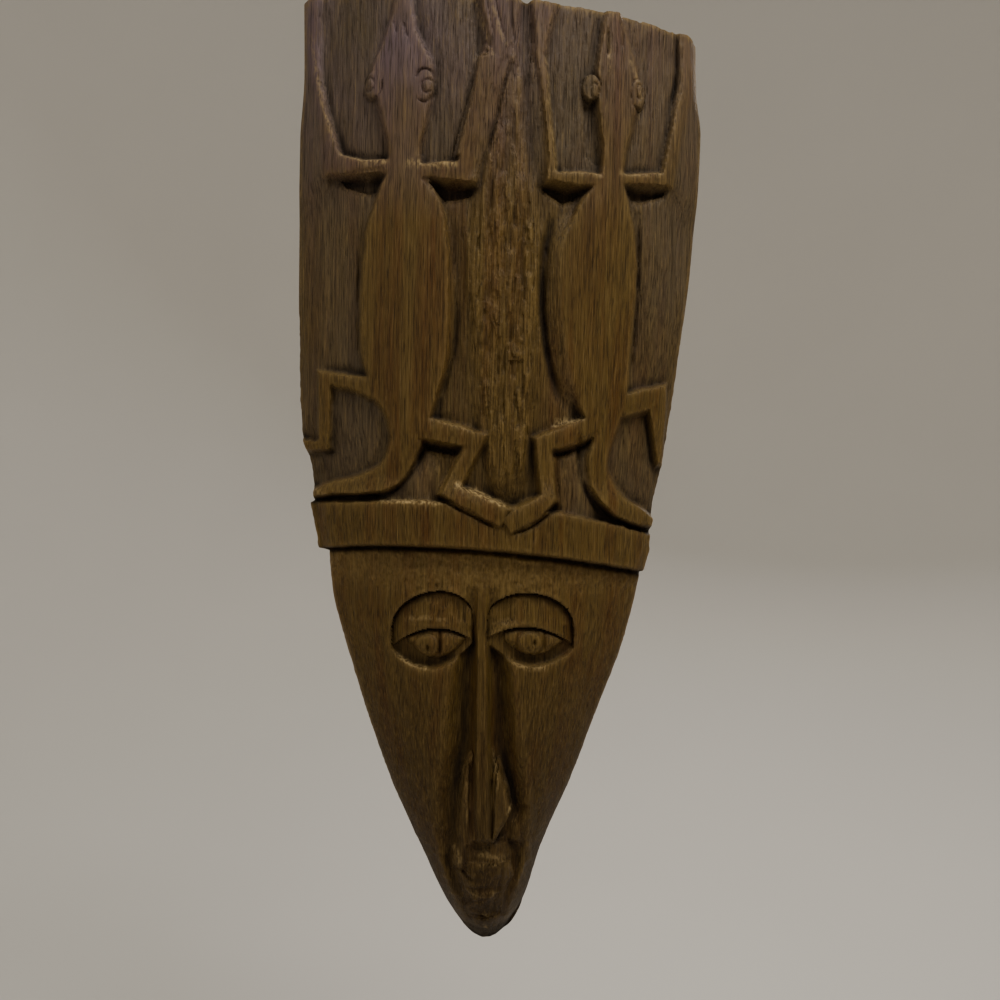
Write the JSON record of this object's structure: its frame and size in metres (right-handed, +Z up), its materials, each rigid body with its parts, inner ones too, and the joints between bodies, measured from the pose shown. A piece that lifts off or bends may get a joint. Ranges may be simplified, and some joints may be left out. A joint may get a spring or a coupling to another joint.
{
  "type": "carved wooden wall mask",
  "caption": "Tall pointed wooden wall mask, hollow behind, carved with a narrow face under a headband and two climbing lizards above.",
  "frame": {"origin": "on the flat of the back, in the middle of the solid wood above the hollow, where the mask meets the wall", "axes": "+Z up along the mask's height, +Y out of the back into the wall, +X to the right as seen from the front, which faces -Y"},
  "size_m": [0.2219, 0.0581, 0.5158],
  "materials": {
    "carved_hardwood": "oiled brown hardwood with open vertical grain, dark in the cuts, rubbed paler along the edges"
  },
  "bodies": {
    "root": {"mask": "carved_hardwood"}
  },
  "joints": []
}
